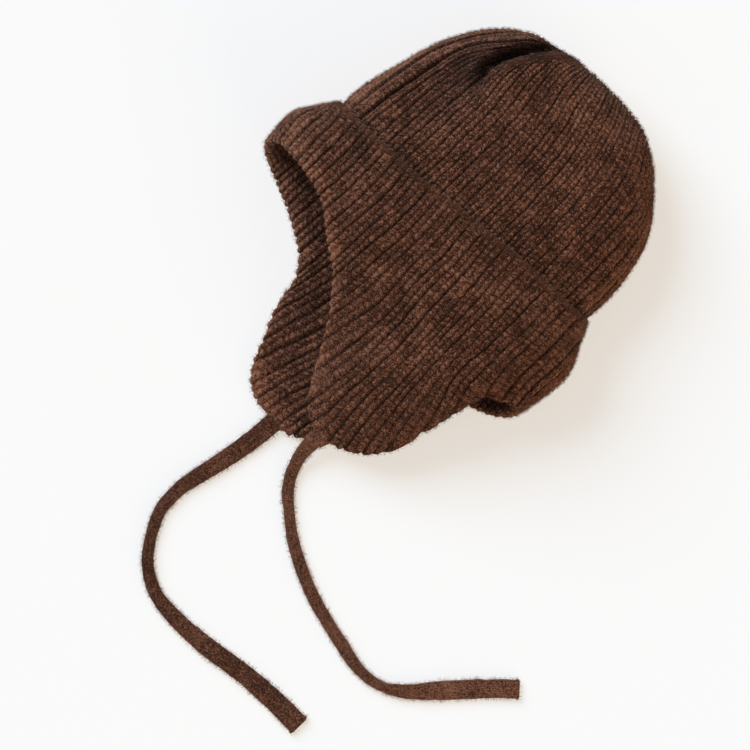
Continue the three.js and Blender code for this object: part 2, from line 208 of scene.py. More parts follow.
# Vertices, faces and the knit's own map into a mesh object at the origin. Three attributes of the vertices go
# with them: shade, painted shade where folds lie deep in the wool; plain, where ribs are squeezed too narrow to
# show; and a painted highlight, paler colour where light catches folds and rims.
def makeObject(name, places, faces, corners, material, shade=None, plain=None, paintedLight=None):
    mesh = bpy.data.meshes.new(name)
    mesh.from_pydata((places * metre).reshape(-1, 3), [], [])
    count = np.array([len(np.atleast_2d(f)[0]) for f in faces])
    total = sum(len(f) for f in faces)
    loops = np.concatenate([f.reshape(-1) for f in faces]).astype(np.int32)
    sizes = np.concatenate([np.full(len(f), n, np.int32) for f, n in zip(faces, count)])
    mesh.loops.add(len(loops))
    mesh.loops.foreach_set("vertex_index", loops)
    mesh.polygons.add(total)
    starts = np.concatenate([[0], np.cumsum(sizes)[:-1]]).astype(np.int32)
    mesh.polygons.foreach_set("loop_start", starts)
    mesh.polygons.foreach_set("loop_total", sizes)
    mesh.polygons.foreach_set("use_smooth", np.ones(total, bool))
    layer = mesh.uv_layers.new(name="knit")
    layer.data.foreach_set("uv", np.concatenate([c.reshape(-1) for c in corners]).astype(np.float32))
    mesh.update(calc_edges=True)
    mesh.validate()
    for label, values in (("shade", shade), ("plain", plain), ("paintedLight", paintedLight)):
        if values is not None:
            layer = mesh.attributes.new(label, "FLOAT", "POINT")
            layer.data.foreach_set("value", np.clip(values, 0, 1).reshape(-1).astype(np.float32))
    mesh.materials.append(material)
    piece = bpy.data.objects.new(name, mesh)
    scene.collection.objects.link(piece)
    return piece


# Quads of a grid of vertex numbers, and the map place of each of their corners.
def gridFaces(index, rib, stitch):
    def quads(a):
        return np.stack([a[:-1, :-1], a[:-1, 1:], a[1:, 1:], a[1:, :-1]], -1).reshape(-1, 4)
    return quads(index), np.stack([quads(rib), quads(stitch)], -1)


# Triangles between two chains of vertices that run side by side from one end to the other; the steps of both
# chains are taken in the order of their places.
def zipper(left, right, leftAt, rightAt):
    onRight = right[np.searchsorted(rightAt[1:], leftAt[1:], side="left")]
    onLeft = left[np.searchsorted(leftAt[1:], rightAt[1:], side="right")]
    found = np.concatenate([np.stack([left[:-1], left[1:], onRight], 1),
                            np.stack([right[1:], right[:-1], onLeft], 1)])
    keep = (found[:, 0] != found[:, 1]) & (found[:, 1] != found[:, 2]) & (found[:, 2] != found[:, 0])
    return found[keep]


# Camera: straight above, turned so that the bonnet lies as in the photograph. Its frame is 375 mm wide at the
# height of the bonnet's middle.
cameraForm = {
    "place": (0.0284, -0.0655, 4.0), "turn": 45.0, "sensor": 36.0, "frameWidth": 0.375, "middle": 0.022,
}
camera = bpy.data.objects.new("camera", bpy.data.cameras.new("camera"))
camera.location = cameraForm["place"]
camera.rotation_euler = (0, 0, math.radians(cameraForm["turn"]))
camera.data.sensor_width = cameraForm["sensor"]
reach = cameraForm["place"][2] - cameraForm["middle"]
camera.data.lens = cameraForm["sensor"] * reach / cameraForm["frameWidth"]
camera.data.dof.use_dof = False
scene.collection.objects.link(camera)
scene.camera = camera


# Wool: the colour and fine relief follow the stitches through the piece's own map, and the fibres follow the
# object. Each grain is a noise's scale per metre and its share of the brightness, and each shake a scale and
# the most that it moves a rib or a stitch. A material's own values are the slant of its stitches, the share
# of their relief, the width of its cast-off edge in stitches, how much paler it is, and the share of the
# grains.
# deep is the colour of painted shade in folds; bead and groove paint crests lighter and grooves darker, a
# painted highlight and painted shade; the painted-light share paints rims and folds paler.
woolLook = {
    "dark": (0.0066, 0.0019, 0.0008), "body": (0.0462, 0.0153, 0.0075), "light": (0.262, 0.120, 0.078),
    "edge": (0.086, 0.0350, 0.0165), "middle": 0.53, "base": 0.36, "bead": 0.32, "groove": 0.42,
    "legShare": 0.26,
    "grains": ((1900.0, 3.2), (1100.0, 2.2), (620.0, 0.9)), "patches": ((45.0, 0.9), (130.0, 0.3)),
    "relief": 0.0009, "roughness": 0.92, "sheen": 0.16, "sheenTint": (0.9, 0.55, 0.42, 1), "paintedShadeMost": 0.88,
    "paintedLight": 0.34, "specular": 0.18, "sheenRoughness": 0.45, "bump": 0.9, "deep": (0.0035, 0.0014, 0.0009),
    "ribShake": (420.0, 0.22), "stitchShake": (380.0, 0.9), "edgeWarmth": 0.3,
}


def woolMaterial(name, slant, reliefShare, castOff=0, paler=0, grainShare=1):
    material = bpy.data.materials.new(name)
    material.use_nodes = True
    tree = material.node_tree
    tree.nodes.clear()
    link = tree.links.new

    def node(kind, **values):
        made = tree.nodes.new("ShaderNode" + kind)
        for key, value in values.items():
            setattr(made, key, value)
        return made

    def calc(operation, a, b=None, clamp=False):
        made = node("Math", operation=operation, use_clamp=clamp)
        for socket, value in zip(made.inputs, (a, b)):
            if value is None:
                continue
            if isinstance(value, (int, float)):
                socket.default_value = value
            else:
                link(value, socket)
        return made.outputs[0]

    def noise(vector, scale, detail, rough=0.6):
        made = node("TexNoise")
        made.inputs["Scale"].default_value = scale
        made.inputs["Detail"].default_value = detail
        made.inputs["Roughness"].default_value = rough
        link(vector, made.inputs["Vector"])
        return made.outputs["Fac"]

    place = node("UVMap", uv_map="knit")
    parts = node("SeparateXYZ")
    link(place.outputs[0], parts.inputs[0])
    coords = node("TexCoord").outputs["Object"]
    rib, stitch = parts.outputs[0], parts.outputs[1]
    # Way from the crest, 0, to the groove, 1. Each slanting leg is a rounded bead: full in its middle both
    # ways.
    def shaken(value, scale, most):
        return calc("ADD", value, calc("MULTIPLY", calc("SUBTRACT", noise(coords, scale, 1.0), 0.5), most))
    rib, stitch = shaken(rib, *woolLook["ribShake"]), shaken(stitch, *woolLook["stitchShake"])
    fromCrest = calc("SUBTRACT", calc("FRACT", calc("ADD", rib, 0.5)), 0.5)
    toGroove = calc("MULTIPLY", calc("ABSOLUTE", fromCrest), 2.0)
    leg = calc("ADD", stitch, calc("MULTIPLY", toGroove, slant))
    offLeg = calc("ABSOLUTE", calc("SUBTRACT", calc("MULTIPLY", calc("FRACT", leg), 2.0), 1.0))
    across = calc("MULTIPLY", calc("MULTIPLY", toGroove, calc("SUBTRACT", 1.0, toGroove)), 4.0)
    bead = calc("MULTIPLY", calc("SUBTRACT", 1.0, calc("POWER", offLeg, 2.5)), calc("POWER", across, 0.8))
    groove = calc("POWER", toGroove, 6.0)
    # One random brightness for each leg.
    cell = node("CombineXYZ")
    link(calc("FLOOR", calc("MULTIPLY", calc("ADD", rib, 0.5), 2.0)), cell.inputs[0])
    link(calc("FLOOR", leg), cell.inputs[1])
    draw = node("TexWhiteNoise", noise_dimensions="2D")
    link(cell.outputs[0], draw.inputs["Vector"])
    bright = calc("MULTIPLY", calc("SUBTRACT", draw.outputs["Value"], 0.5), woolLook["legShare"])
    fibres = None
    for scale, share in woolLook["grains"] + woolLook["patches"]:
        field = noise(coords, scale, 3.0, 0.65)
        fibres = fibres or field
        bright = calc("ADD", bright, calc("MULTIPLY", calc("SUBTRACT", field, 0.5), share * grainShare))
    patchy = calc("MULTIPLY", noise(coords, 160.0, 1.0), 1.7)
    # Painted highlight and painted shade: each leg's crest is painted lighter and the grooves darker, as light
    # falls on the knit's relief.
    knit = calc("SUBTRACT", calc("MULTIPLY", bead, woolLook["bead"] * reliefShare),
                calc("MULTIPLY", calc("MULTIPLY", groove, patchy), woolLook["groove"]))
    shade, plain, paintedLight = (node("Attribute", attribute_name=label).outputs["Fac"]
                           for label in ("shade", "plain", "paintedLight"))
    # The cast-off edge has no stitches to show, and is a little warmer.
    if castOff:
        edge = calc("SUBTRACT", calc("ADD", castOff, calc("MULTIPLY", noise(coords, 300.0, 2.0), 0.5)),
                    parts.outputs[1])
        edge = calc("MULTIPLY", calc("ADD", edge, 0.1), 1.5, True)
        plain = calc("MAXIMUM", plain, edge)
    knit = calc("MULTIPLY", knit, calc("SUBTRACT", 1.0, plain))
    # Painted light: where the attribute says so, the wool is painted paler, as where light catches rims and
    # folds.
    bright = calc("ADD", bright, calc("MULTIPLY", paintedLight, woolLook["paintedLight"]))
    bright = calc("ADD", calc("ADD", bright, knit), woolLook["base"] + paler, clamp=True)
    ramp = node("ValToRGB")
    ramp.color_ramp.elements[0].color = (*woolLook["dark"], 1)
    ramp.color_ramp.elements[1].color = (*woolLook["light"], 1)
    middle = ramp.color_ramp.elements.new(woolLook["middle"])
    middle.color = (*woolLook["body"], 1)
    link(bright, ramp.inputs[0])

    def blended(colour, share, other):
        blend = node("Mix", data_type="RGBA", blend_type="MIX")
        link(share, blend.inputs[0])
        link(colour, blend.inputs[6])
        blend.inputs[7].default_value = (*other, 1)
        return blend.outputs[2]
    colour = ramp.outputs[0]
    if castOff:
        colour = blended(colour, calc("MULTIPLY", edge, woolLook["edgeWarmth"]), woolLook["edge"])
    # Painted shade: deep folds are painted towards the dark deep colour by the shade attribute.
    colour = blended(colour, calc("MULTIPLY", shade, woolLook["paintedShadeMost"]), woolLook["deep"])
    # Fine relief: rounded legs with fibres on them.
    height = calc("ADD", calc("MULTIPLY", bead, reliefShare), calc("MULTIPLY", groove, -0.4))
    height = calc("ADD", height, calc("MULTIPLY", fibres, 0.6))
    bump = node("Bump")
    bump.inputs["Strength"].default_value = woolLook["bump"]
    bump.inputs["Distance"].default_value = woolLook["relief"]
    link(height, bump.inputs["Height"])
    shader = node("BsdfPrincipled")
    shader.inputs["Roughness"].default_value = woolLook["roughness"]
    shader.inputs["Specular IOR Level"].default_value = woolLook["specular"]
    shader.inputs["Sheen Weight"].default_value = woolLook["sheen"]
    shader.inputs["Sheen Roughness"].default_value = woolLook["sheenRoughness"]
    shader.inputs["Sheen Tint"].default_value = woolLook["sheenTint"]
    link(colour, shader.inputs["Base Color"])
    link(bump.outputs[0], shader.inputs["Normal"])
    output = node("OutputMaterial")
    link(shader.outputs[0], output.inputs[0])
    return material


crownWool = woolMaterial("crown_wool", knitRelief["slant"], 1.0)
bandWool = woolMaterial("band_wool", -knitRelief["slant"], 1.0, castOff=1.05)
# The fuzz is painted paler, a painted highlight for light caught by the loose fibres.
fuzzWool = woolMaterial("fuzz_wool", knitRelief["slant"], 0.3, paler=0.2, grainShare=0.5)
tieWool = woolMaterial("tie_wool", 0.8, 0.35, paler=0.22, grainShare=0.75)
print("materials made")

# Fuzz: single fibres that stand off the wool, each a bent ribbon of two pieces that narrows to a tip. Lengths
# and lifts are in millimetres.
fuzzForm = {
    "length": (0.9, 3.0), "lift": (0.2, 1.7), "curl": 0.8, "width": 0.15, "sunk": 0.25, "lowest": 0.02,
    "kneeAt": 0.5, "kneeCurl": 0.35, "kneeLift": 0.75, "kneeWidth": 0.7, "tipCurl": 1.4,
}


# Fibres at the given places, which have normals and map places, drawn with one seed.
def fuzz(places, normals, maps, seed):
    form = fuzzForm
    draw = np.random.default_rng(seed)
    count = len(places)
    ahead = np.cross(normals, draw.normal(size=(count, 3)))
    ahead /= np.maximum(np.linalg.norm(ahead, axis=1, keepdims=True), 1e-9)
    aside = np.cross(normals, ahead)
    length, lift = (draw.uniform(*form[name], (count, 1)) for name in ("length", "lift"))
    curl = draw.uniform(-1, 1, (count, 1)) * form["curl"]
    turn = draw.uniform(0, np.pi, (count, 1))
    half = (aside * np.cos(turn) + normals * np.sin(turn)) * form["width"] / 2
    root = places - normals * form["sunk"]
    knee = (root + ahead * length * form["kneeAt"] + aside * curl * form["kneeCurl"]
            + normals * (lift * form["kneeLift"] + form["sunk"]))
    tip = root + ahead * length + aside * curl * form["tipCurl"] + normals * (lift + form["sunk"])
    kneeHalf = half * form["kneeWidth"]
    points = np.stack([root - half, root + half, knee + kneeHalf, knee - kneeHalf, tip], 1)
    points[..., 2] = np.maximum(points[..., 2], form["lowest"])
    first = np.arange(count)[:, None] * 5
    faces = [first + [0, 1, 2, 3], first + [3, 2, 4]]
    return points.reshape(-1, 3), faces, [np.repeat(maps[:, None], n, 1) for n in (4, 3)]


# Fibres spread over several skins by their area, away from the surface the bonnet lies on and from deep
# folds.
def makeFuzz(name, skins, count, material, seed):
    rows, rates = [], []
    for places, normals, rib, stitch, shade in skins:
        area = (np.linalg.norm(np.gradient(places, axis=0), axis=-1)
                * np.linalg.norm(np.gradient(places, axis=1), axis=-1))
        rates.append((area * (shade < 0.25) * (places[..., 2] > 1)).reshape(-1))
        # Each fibre takes the colour of a leg's crest, which is painted lighter as a painted highlight.
        maps = np.stack([np.round(rib) + 0.25, stitch], -1)
        rows.append(np.concatenate([places, normals, maps], -1).reshape(-1, 8))
    rows, rates = np.concatenate(rows), np.concatenate(rates)
    at = np.random.default_rng(seed).choice(len(rows), count, p=rates / rates.sum())
    piece = makeObject(name, *fuzz(rows[at, :3], rows[at, 3:6], rows[at, 6:], seed + 1), material)
    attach(piece, "root")


# Ties: flat knitted tapes. Rows are x, y, z, width along the middle of the tape from the flap tip to the free
# end.
tieForm = {
    "thickness": 3.0, "rows": 640, "around": 56, "columnPitch": 1.25, "stitchPitch": 1.15, "relief": 0.22,
    "lip": 0.13, "lipAt": 0.9, "lipLength": 0.8, "fibres": 6000, "faceWidth": 9.6, "endRounding": 1.5,
    "flatness": 0.55, "edgeRoundness": 0.8, "endWidth": 0.74, "endThickness": 0.15, "bend": 0.25,
    "bendSpacing": 3.1, "routeStep": 16, "diameter": 0.010,
}
nearTie = [
    (32, -101, 11.8, 12), (31.4, -105, 11.4, 11), (29.9, -112, 8.8, 8.6), (31, -122.7, 4.2, 6.8),
    (37.2, -135.9, 1.8, 6.2), (47.8, -145.7, 1.6, 5.8), (59.2, -154.2, 1.6, 6.2), (71.9, -160.8, 1.6, 6.4),
    (85.1, -166.2, 1.6, 6.6), (98.9, -170.1, 1.6, 6.6), (112.8, -173.2, 1.6, 6.8),
    (126.9, -175.8, 1.6, 5.9), (141.2, -173.9, 1.6, 5.2), (153, -165.9, 1.6, 7.6),
    (162.8, -155.4, 1.6, 9.6), (172.5, -144.8, 1.6, 9.8), (182.4, -134.4, 1.6, 9.6),
    (191.5, -125.8, 1.6, 9.8),
]
farTie = [
    (9.8, -114, 2.6, 10.2), (9.3, -117.7, 2.3, 10.2), (7.6, -133.8, 1.6, 9.8), (5.2, -147.9, 1.6, 9),
    (2, -161.8, 1.6, 8.4), (-0.7, -176.2, 1.6, 7.4), (0.4, -190.3, 1.6, 6.4), (6.8, -203.4, 1.6, 6.2),
    (15.9, -214.4, 1.6, 6.2), (28.6, -221.2, 1.6, 7), (42.8, -222.9, 1.6, 8.2), (57.1, -222.5, 1.6, 9.2),
    (71.3, -220.9, 1.6, 9.8), (85.4, -218.7, 1.6, 10), (99.7, -217.4, 1.6, 10.4), (113.9, -217, 1.6, 10.8),
    (126.4, -217.2, 1.6, 11.2),
]


# A tape along a smooth line through the rows. Its section is a flattened oval, and its ends round off in a
# few rows. Stitch columns run along it, so the relief's rib count is the way round divided by the column
# pitch.
def makeTie(name, rows, body, paintedLight):
    form = tieForm
    rows = np.asarray(rows, float)
    chord = np.concatenate([[0], np.cumsum(np.linalg.norm(np.diff(rows[:, :3], axis=0), axis=1))])
    at = np.linspace(0, chord[-1], form["rows"])
    line = readRows(np.column_stack([chord, rows]), at)
    middle, width = line[:, :3], line[:, 3]
    ahead = np.gradient(middle, axis=0)
    ahead /= np.linalg.norm(ahead, axis=1, keepdims=True)
    across = np.stack([ahead[:, 1], -ahead[:, 0], np.zeros(len(at))], 1)
    across /= np.linalg.norm(across, axis=1, keepdims=True)
    up = np.cross(across, ahead)
    length = np.concatenate([[0], np.cumsum(np.linalg.norm(np.diff(middle, axis=0), axis=1))])
    toEnd = np.minimum(length, length[-1] - length)
    rounding = np.sqrt(np.clip(1 - (1 - np.clip(toEnd / form["endRounding"], 0, 1)) ** 2, 0.0, 1))
    angle = np.linspace(0, 2 * np.pi, form["around"] + 1)[:-1]
    sideways = np.sign(np.cos(angle)) * np.abs(np.cos(angle)) ** form["flatness"]
    upward = np.sign(np.sin(angle)) * np.abs(np.sin(angle)) ** form["edgeRoundness"]
    # The cast-off edge at the free end is a little wider and thicker than the tape.
    lip = form["lip"] * np.exp(-((length[-1] - length - form["lipAt"]) / form["lipLength"]) ** 2)
    halfWidth = (width / 2 * mix(form["endWidth"], 1, rounding) * (1 + lip))[:, None]
    halfThick = (form["thickness"] / 2 * mix(form["endThickness"], 1, rounding) * (1 + lip))[:, None]
    places = (middle[:, None] + across[:, None] * (halfWidth * sideways)[..., None]
              + up[:, None] * (halfThick * upward)[..., None])
    # Columns of stitches are counted from the middle of the upper face, half of the width each way.
    columns = np.round(form["faceWidth"] / form["columnPitch"])
    rib = np.broadcast_to((sideways * columns / 2 + 0.5) + np.where(upward < 0, 40.0, 0.0), places.shape[:2])
    stitch = np.broadcast_to((length / form["stitchPitch"])[:, None], places.shape[:2])
    normal = squareTo(places, True)
    outward = np.sign(np.sum(normal * (places - middle[:, None]), -1, keepdims=True))
    normal = normal * np.where(outward == 0, 1, outward)
    height = knitHeight(rib, stitch, 1.0) * form["relief"] * rounding[:, None]
    bend = form["bend"] * softField(places, form["bendSpacing"], 5)[..., None] * across[:, None]
    places = places + normal * height[..., None] + bend
    places[..., 2] = np.maximum(places[..., 2], 0)
    index = np.arange(rib.size).reshape(rib.shape)
    wrapped = np.concatenate([index, index[:, :1]], 1)
    ribRound = np.concatenate([rib, rib[:, :1]], 1)
    stitchRound = np.concatenate([stitch, stitch[:, :1]], 1)
    faces, corners = gridFaces(wrapped, ribRound, stitchRound)
    # Both ends are closed across the tape, top vertex to bottom vertex.
    half = form["around"] // 2
    caps, capMaps = [], []
    for row, flip in ((0, False), (len(at) - 1, True)):
        top, low = index[row, :half + 1], np.concatenate([index[row, :1], index[row, :half - 1:-1]])
        cap = np.stack([top[:-1], low[:-1], low[1:], top[1:]], 1)
        tri = np.concatenate([cap[:, [0, 1, 2]], cap[:, [0, 2, 3]]])
        tri = tri[(tri[:, 0] != tri[:, 1]) & (tri[:, 1] != tri[:, 2]) & (tri[:, 0] != tri[:, 2])]
        caps.append(tri[:, ::-1] if flip else tri)
        capMaps.append(np.stack([rib.reshape(-1)[caps[-1]], stitch.reshape(-1)[caps[-1]]], -1))
    total = index.size
    fibresAt = np.random.default_rng(9).choice(total, form["fibres"], replace=False)
    # Fibres take the colour of a leg's crest, painted lighter as a painted highlight.
    maps = np.stack([np.round(rib.reshape(-1)[fibresAt]) + 0.25, stitch.reshape(-1)[fibresAt]], -1)
    roots, rootNormals = (grid.reshape(-1, 3)[fibresAt] for grid in (places, normal))
    fibres, fibreFaces, fibreMaps = fuzz(roots, rootNormals, maps, 13)
    fibreFaces = [face + total for face in fibreFaces]
    piece = makeObject(name, np.concatenate([places.reshape(-1, 3), fibres]),
                       [faces[:, ::-1], np.concatenate(caps), *fibreFaces],
                       [corners[:, ::-1], np.concatenate(capMaps), *fibreMaps], tieWool,
                       paintedLight=np.full(total + len(fibres), paintedLight))
    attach(piece, "root")
    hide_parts(body)


# Painted light: the near tie is painted paler than the far one.
makeTie("tie_near_knit", nearTie, "tie_near", paintedLight=0.42)
makeTie("tie_far_knit", farTie, "tie_far", paintedLight=0)
print("ties made")

# Crown. Fold lines seen from above from the hidden lower edge, share 0, to the closing line, share 1: share,
# x, y.
frontFold = [
    (0, -76, 8.5), (0.08, -79.3, 21), (0.2, -77.9, 36), (0.33, -74.4, 51), (0.46, -70, 66.5),
    (0.58, -65.2, 79.5), (0.69, -56, 94), (0.79, -45, 105), (0.88, -33, 112.3), (1, -14, 116.4),
]
backFold = [
    (0, 80, 16.5), (0.15, 83.8, 28.5), (0.35, 84.7, 41.2), (0.55, 83.4, 55.7), (0.75, 80, 70),
    (0.88, 75, 81.5), (1, 69, 89.5),
]
# The band's upper edge seen from above: x, y.
stepEdge = [(-80, 19.5), (-54, 19.5), (-32, 20.2), (-9, 22.2), (13, 25), (37, 27.6), (63, 28.4), (85, 28.6)]
# Where each rib meets the closing line: rib, x, y.
closingLine = [
    (0, -14, 116), (6, -11, 116.2), (12, -7, 116.4), (15, 8, 117.3), (18, 24, 117.4), (21, 38.5, 114.8),
    (24, 51.5, 107.8), (27, 61.5, 98.6), (30, 69, 89.5),
]
# The crease where the dome folds over the front, and the grooves between the raised front folds: share, x, y,
# depth.
crease = [
    (0, -33.5, 66, 0), (0.1, -34, 75, 0.4), (0.2, -35.2, 83, 0.85), (0.35, -34, 89.5, 1),
    (0.5, -30.3, 96.5, 1), (0.65, -25.8, 103, 1), (0.8, -21.5, 108.8, 0.95), (0.92, -17, 112.6, 0.6),
    (1, -10, 116.3, 0.1),
]
groove = [
    (0, -67, 20, 0.6), (0.12, -65, 37, 1), (0.25, -63, 50, 1), (0.4, -61.3, 60, 0.9),
    (0.5, -59.3, 70, 0.8), (0.6, -56.2, 80, 0.7), (0.7, -50.3, 90, 0.6), (0.8, -41.3, 100, 0.5),
    (0.9, -32, 109, 0.3), (1, -24, 113, 0),
]
outerGroove = [
    (0, -74.3, 22, 0), (0.12, -72.5, 37, 0.5), (0.25, -70.6, 50, 0.9), (0.4, -68.8, 60, 0.9),
    (0.5, -66.2, 70, 0.9), (0.6, -62, 80, 0.9), (0.7, -56, 90, 0.8), (0.8, -48, 100, 0.7),
    (0.9, -38, 109, 0.4), (1, -28, 114, 0),
]
# Where the grooves between the ribs run on the upper side, seen from above: for each level of y, the x of
# each groove.
trackRibs = (1.5, 2.5, 3.5, 4.5, 5.5, 6.5, 7.5, 8.5, 9.5, 10.5, 11.5, 12.5, 14.5, 16.5, 18.5, 20.5, 22.5,
             24.5, 26.5, 27.5)
tracks = [
    (20, -74.5, -67, -62.5, -54.5, -48.4, -42.2, -36.2, -30, -24.2, -18, -11.7, -5.3, 6.3, 17.8, 29.4, 40.2,
     50.8, 63.3, 74.8, 80.8),
    (37, -72.5, -65, -61, -54, -48.2, -42, -35.6, -29.2, -23.2, -17.3, -11.7, -5.7, 6.5, 17.9, 29.3, 40.1,
     50.9, 62.7, 75.3, 81.9),
    (50, -70.6, -63, -59.2, -53.8, -48, -41.6, -35.2, -29.2, -23.2, -17.5, -11.7, -5.7, 6, 17.5, 28.8, 39.5,
     50.5, 62.3, 75.3, 81.2),
    (60, -68.8, -61.3, -57.8, -52.8, -47, -41, -34.8, -29.2, -23, -17.3, -11.5, -5.5, 5.8, 16.7, 28, 39,
     50.3, 62, 74.7, 80.4),
    (70, -66.2, -59.3, -55.5, -50.5, -45.3, -40, -34.8, -29, -23.5, -17.9, -12.3, -6.3, 5, 16.5, 27.4, 38,
     49.5, 61.5, 73.7, 78.2),
    (80, -62, -56.2, -52, -47.5, -43, -38.8, -35.2, -30.6, -24.8, -18.8, -12.8, -7, 4, 15.5, 26, 36, 48.2,
     60.8, 71.8, 75),
    (90, -56, -50.3, -45.5, -42.2, -39, -36, -33.8, -31, -26, -20.7, -14.8, -9.3, 2.6, 13.2, 23.6, 34, 46.5,
     59.2, 66.8, 69.5),
    (100, -48, -41.3, -38.3, -35.8, -33, -30.3, -28.3, -27.6, -26, -21, -16.3, -10.8, -0.3, 10.3, 20.5,
     30.8, 42.8, 54.8, 61, 63),
    (109, -38, -32, -29.5, -27, -25, -23, -21.6, -21.2, -20.9, -20, -16.5, -11.5, -1.8, 8.3, 18.2, 27.8,
     38.3, 48, 53.5, 55.5),
    (117, -14.2, -13.8, -13.5, -13.2, -13, -12.8, -12.6, -12.4, -12.2, -11.8, -11, -9, -2.5, 6, 15, 24, 34,
     42, 46, 48),
]
crownForm = {
    "foldHeight": 22, "rise": 27.8, "wall": 3, "ribRelief": 1.25, "creaseDepth": 13, "creaseLip": 2.8,
    "creaseFlat": 4, "creaseEnd": 11.5, "grooveDepth": 2.3, "grooveWidth": 1.6, "dentDepth": 6.5,
    "outerDepth": 2.2, "outerWidth": 1.4,
    "perRib": 8, "rows": 180, "innerRows": 13, "stitchPitch": 2.95, "fibres": 38000,
    "dent": (-51, 58, 15, 30), "stretched": (-47, 73, 8.5, 14), "dentShade": (-46, 70, 12, 20),
}


# Signed distance from a table's line seen from above, positive on the dome's side, the depth there, and the
# level direction away from the dome.
def beside(rows, x, y):
    rows = np.asarray(rows, float)
    best, depth = np.full(x.shape, 1e9), np.zeros(x.shape)
    away = np.zeros(x.shape + (2,))
    points = rows[:, 1:3]
    tangent = np.gradient(points, axis=0)
    outward = np.stack([-tangent[:, 1], tangent[:, 0]], 1)
    outward /= np.linalg.norm(outward, axis=1, keepdims=True)
    for i in range(1, len(rows)):
        (ax, ay), (bx, by) = points[i - 1], points[i]
        dx, dy = bx - ax, by - ay
        t = np.clip(((x - ax) * dx + (y - ay) * dy) / (dx * dx + dy * dy), 0, 1)
        ox, oy = x - ax - t * dx, y - ay - t * dy
        distance = np.hypot(ox, oy)
        nearer = distance < np.abs(best)
        best = np.where(nearer, distance * np.where(dx * oy - dy * ox > 0, -1, 1), best)
        depth = np.where(nearer, mix(rows[i - 1, 3], rows[i, 3], t), depth)
        away = np.where(nearer[..., None], mix(outward[i - 1], outward[i], t[..., None]), away)
    return best, depth, away


# A bell shape over one of the crown's oval places: its middle and its reach both ways.
def bell(x, y, oval, power=2):
    middleX, middleY, reachX, reachY = crownForm[oval]
    return np.exp(-((x - middleX) / reachX) ** power - ((y - middleY) / reachY) ** power)


# The crown's height shrinks as sqrt(1 - share^5), and its rows are stepped evenly along that profile.
def closing(share):
    return np.sqrt(np.clip(1 - share ** 5, 0, 1))


def crownShare(row):
    share = 1 - (1 - np.linspace(0, 1, 401)) ** 2
    steps = np.hypot(np.diff(share) * 105, np.diff(closing(share)) * 26)
    length = np.concatenate([[0], np.cumsum(steps)])
    return np.interp(row, length / length[-1], share)


# A place on the crown: between the two fold lines by the hoop's share across, drawn towards the closing line
# as the share grows, and as high as the hoop times the closing profile. The upper side sinks by the crease,
# groove and dent.
def crownSkin(rib, share):
    upper, near, across, up = roundHoop(rib)
    front, back = readRows(frontFold, share), readRows(backFold, share)
    first, last = np.array(closingLine[0][1:]), np.array(closingLine[-1][1:])
    a = across[..., None]
    flat = mix(front, back, a) + share[..., None] * (readRows(closingLine, near) - mix(first, last, a))
    x, y = flat[..., 0], flat[..., 1]
    lift = closing(share) * up
    fold, foldDepth, away = beside(crease, x, y)
    slit, slitDepth, _ = beside(groove, x, y)
    outerSlit, outerDepth, _ = beside(outerGroove, x, y)
    ahead = -fold
    rest = 1 - smooth(crownForm["creaseFlat"], crownForm["creaseEnd"], ahead)
    wall = np.where(ahead > 0, smooth(0, 2.2, ahead) * rest, 0)
    sink = (crownForm["creaseDepth"] * foldDepth * wall
            + crownForm["grooveDepth"] * slitDepth * np.exp(-(slit / crownForm["grooveWidth"]) ** 2)
            + crownForm["outerDepth"] * outerDepth * np.exp(-(outerSlit / crownForm["outerWidth"]) ** 2)
            + crownForm["dentDepth"] * bell(x, y, "dent"))
    sink = sink * smooth(0, 0.12, share) * np.minimum(1, lift * 1.6)
    high = crownForm["foldHeight"] + crownForm["rise"] * lift - sink
    floor = mix(crownForm["foldHeight"] - 4.5, crownForm["foldHeight"] + 1, smooth(0.1, 0.34, share))
    low = np.maximum(crownForm["foldHeight"] - lift * floor, 0)
    z = np.where(upper, high, low)
    # The ridge beside the crease leans out over it.
    lean = crownForm["creaseLip"] * foldDepth * np.exp(-((fold - 0.3) / 2.6) ** 2)
    lean = lean * upper * np.minimum(1, lift * 1.6)
    place = np.stack([x, y, z], -1)
    place[..., :2] += away * lean[..., None]
    return place


# Where the ribs are stretched flat, in the broad dent in front of the valley.
def stretched(x, y):
    return bell(x, y, "stretched", 4)


# Painted shade on the crown's upper side, seen from above: darker in the valley under the ridge, in the two
# grooves in front of it and in the broad dent, and along the line where the crown comes out from under the band.
def crownShade(x, y):
    fold, foldDepth, _ = beside(crease, x, y)
    slit, slitDepth, _ = beside(groove, x, y)
    outerSlit, outerDepth, _ = beside(outerGroove, x, y)
    valley = foldDepth * smooth(0.3, 2.5, -fold) * (1 - smooth(4, 9, -fold))
    past = y - readRows(stepEdge, x)[..., 0]
    return (0.85 * valley + 0.5 * slitDepth * np.exp(-(slit / 1.1) ** 2)
            + 0.62 * outerDepth * np.exp(-(outerSlit / 1.1) ** 2)
            + 0.34 * bell(x, y, "dentShade") + 0.4 * np.exp(-((past - 1.6) / 1.5) ** 2))


# Painted light on the crown, seen from above: the wool is painted paler where light catches it, outside the
# outer groove, a little between the two grooves, and on the fold at the back.
def crownPaintedLight(x, y, share):
    slit, outerSlit = (beside(rows, x, y)[0] for rows in (groove, outerGroove))
    toBack = readRows(backFold, share)[..., 0] - x
    return np.maximum(0.8 * (1 - smooth(-1.2, 0.2, outerSlit)) + 0.25 * smooth(0.5, 1.5, outerSlit)
                      * (1 - smooth(-1.5, -0.3, slit)), 0.45 * (1 - smooth(1, 7, toBack)))


